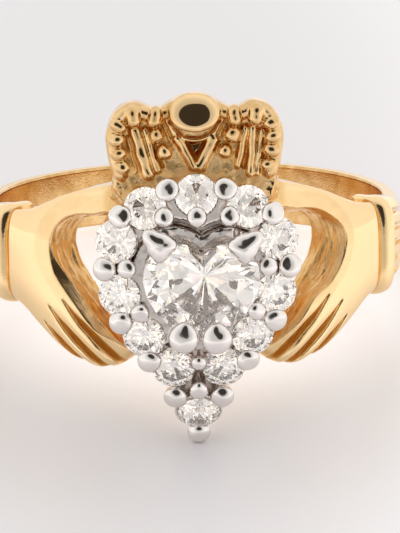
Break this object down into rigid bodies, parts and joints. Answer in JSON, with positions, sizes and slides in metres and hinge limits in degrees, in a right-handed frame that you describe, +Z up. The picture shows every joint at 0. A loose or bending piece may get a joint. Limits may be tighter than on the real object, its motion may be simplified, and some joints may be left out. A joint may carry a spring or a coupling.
{
  "type": "claddagh ring",
  "caption": "Finger ring of two cast hands that hold a heart-shaped stone in a halo of round stones, under a crown.",
  "frame": {"origin": "bottom centre of the box of the resting ring, on the surface it lies on", "axes": "+X to the ring's right seen from the front, +Y from the head to the back of the band, which is the longest extent, +Z up from the surface, which is the shortest extent; the axis of the finger hole leans back by 18.6 degrees from +Z"},
  "size_m": [0.0192, 0.0219, 0.0148],
  "materials": {
    "yellow_gold": "polished 18 carat yellow gold",
    "white_gold": "rhodium-plated white gold, polished",
    "diamond": "brilliant cut, polished"
  },
  "bodies": {
    "root": {"gold_ring": "yellow_gold", "cluster_setting": "white_gold", "heart_stone": "diamond", "halo_stone_01": "diamond", "halo_stone_02": "diamond", "halo_stone_03": "diamond", "halo_stone_04": "diamond", "halo_stone_05": "diamond", "halo_stone_06": "diamond", "halo_stone_07": "diamond", "halo_stone_08": "diamond", "halo_stone_09": "diamond", "halo_stone_10": "diamond", "halo_stone_11": "diamond", "halo_stone_12": "diamond"}
  },
  "joints": []
}
